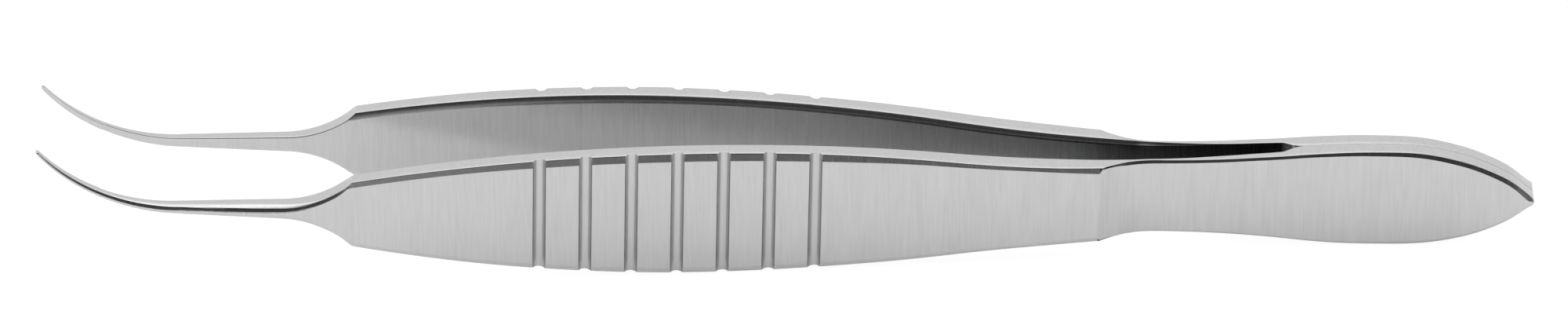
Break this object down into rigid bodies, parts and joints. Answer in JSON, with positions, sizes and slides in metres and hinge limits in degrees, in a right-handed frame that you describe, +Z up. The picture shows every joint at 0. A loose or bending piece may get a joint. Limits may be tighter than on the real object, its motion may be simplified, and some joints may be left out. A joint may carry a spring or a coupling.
{
  "type": "tying forceps",
  "caption": "Curved tying forceps for eye surgery: leaf-shaped welded tail, thin spring, flat fluted handles, slender shanks and tips that curve up",
  "frame": {"origin": "the middle of the box around the forceps, on the surface it lies on", "axes": "+X along the forceps from its tips to its tail, +Z up, square to the flat of the handles' edges; the near handle is on the -Y side"},
  "size_m": [0.1067, 0.0098, 0.011],
  "materials": {
    "steel": "satin"
  },
  "bodies": {
    "tail": {"near_tail": "steel", "far_tail": "steel"},
    "near_arm": {"near_arm": "steel"},
    "far_arm": {"far_arm": "steel"}
  },
  "joints": [
    {"name": "near_arm_close", "type": "hinge", "parent": "tail", "child": "near_arm", "pos_m": [0.02756, -0.00109, 0.00438], "axis": [-0.0237, 0, -0.9997], "range_deg": [0, 2.74], "stiffness_Nm_per_rad": 0.8},
    {"name": "far_arm_close", "type": "hinge", "parent": "tail", "child": "far_arm", "pos_m": [0.02756, 0.00109, 0.00438], "axis": [-0.0237, 0, -0.9997], "range_deg": [-2.74, 0], "stiffness_Nm_per_rad": 0.8}
  ],
  "couplings": [
    {"joint": "far_arm_close", "follows": "near_arm_close", "ratio": -1}
  ]
}
